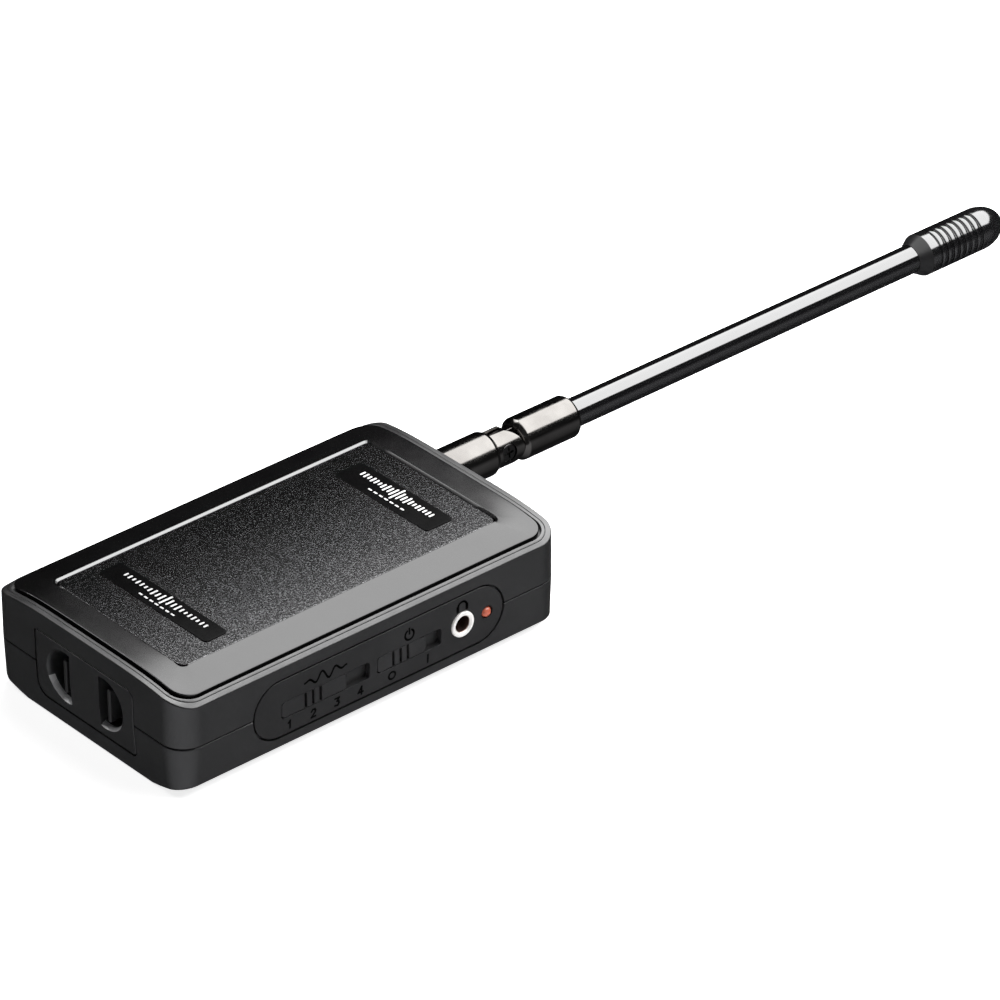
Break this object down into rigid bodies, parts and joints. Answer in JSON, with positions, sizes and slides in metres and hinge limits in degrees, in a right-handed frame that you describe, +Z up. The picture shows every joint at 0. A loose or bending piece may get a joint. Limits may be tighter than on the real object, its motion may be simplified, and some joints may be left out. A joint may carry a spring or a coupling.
{
  "type": "wireless receiver unit",
  "caption": "Hand-sized plastic receiver housing with slide switches, an audio socket and a lamp on one side, twin D-shaped plug sockets in one end and a folding rod antenna.",
  "frame": {"origin": "centre of the housing's underside", "axes": "+X towards the control side, +Y along the antenna, +Z up out of the face"},
  "size_m": [0.0611, 0.2716, 0.0245],
  "materials": {
    "shell": "satin moulded",
    "frame": "glossy",
    "panel": "fine grained",
    "label": "satin print",
    "steel": "plain",
    "nickel": "bright plated",
    "fin": "satin",
    "lamp": "tinted lens",
    "board": "coated laminate",
    "component": "moulded",
    "tin": "tinned sheet",
    "ceramic": "fired",
    "battery": "printed can",
    "copper": "bare wire",
    "rod": "glossy",
    "tip": "glossy ribbed",
    "brass": "machined"
  },
  "bodies": {
    "housing": {"upper_shell": "shell", "lower_shell": "shell", "face_frame": "frame", "face_panel": "panel", "label_plate_far": "label", "label_plate_near": "label", "housing_screws": "steel", "socket_plate": "shell", "socket_fins": "fin", "control_plate": "shell", "freq_switch": "tin", "power_switch": "tin", "switch_pins": "tin", "jack_bush": "nickel", "jack_body": "component", "jack_pins": "tin", "lamp_lens": "lamp", "lamp_leads": "tin", "circuit_board": "board", "board_screws": "steel", "shield_can": "tin", "tuner_chip": "component", "audio_chip": "component", "tuning_coils": "tin", "crystal_can": "tin", "electrolytic_caps": "component", "chip_capacitors": "ceramic", "battery_cradle": "shell", "battery_case": "battery", "battery_studs": "tin", "snap_plate": "component", "snap_contacts": "tin", "antenna_bushing": "brass", "antenna_contact": "copper"},
    "freq": {"freq_slider": "shell"},
    "power": {"power_slider": "shell"},
    "door": {"battery_door": "shell"},
    "swivel": {"antenna_base": "nickel", "antenna_clip": "steel", "antenna_knuckle": "nickel", "hinge_screw": "steel"},
    "aerial": {"antenna_tongue": "nickel", "antenna_collar": "nickel", "antenna_rod": "rod", "antenna_whip": "copper", "antenna_tip": "tip"}
  },
  "joints": [
    {"name": "freq_slide", "type": "slide", "parent": "housing", "child": "freq", "axis": [0, 1, 0], "range_m": [0, 0.00576]},
    {"name": "power_slide", "type": "slide", "parent": "housing", "child": "power", "axis": [0, 1, 0], "range_m": [0, 0.0039]},
    {"name": "door_hinge", "type": "hinge", "parent": "housing", "child": "door", "pos_m": [-0.0062, -0.0335, 0.00075], "axis": [-1, 0, 0], "range_deg": [0, 95]},
    {"name": "antenna_swivel", "type": "hinge", "parent": "housing", "child": "swivel", "pos_m": [-0.0163, 0.05025, 0.0117], "axis": [0, 1, 0], "range_deg": [-170, 170]},
    {"name": "antenna_fold", "type": "hinge", "parent": "swivel", "child": "aerial", "pos_m": [-0.0163, 0.073, 0.0117], "axis": [0.9903, 0, 0.1392], "range_deg": [0, 80]}
  ]
}
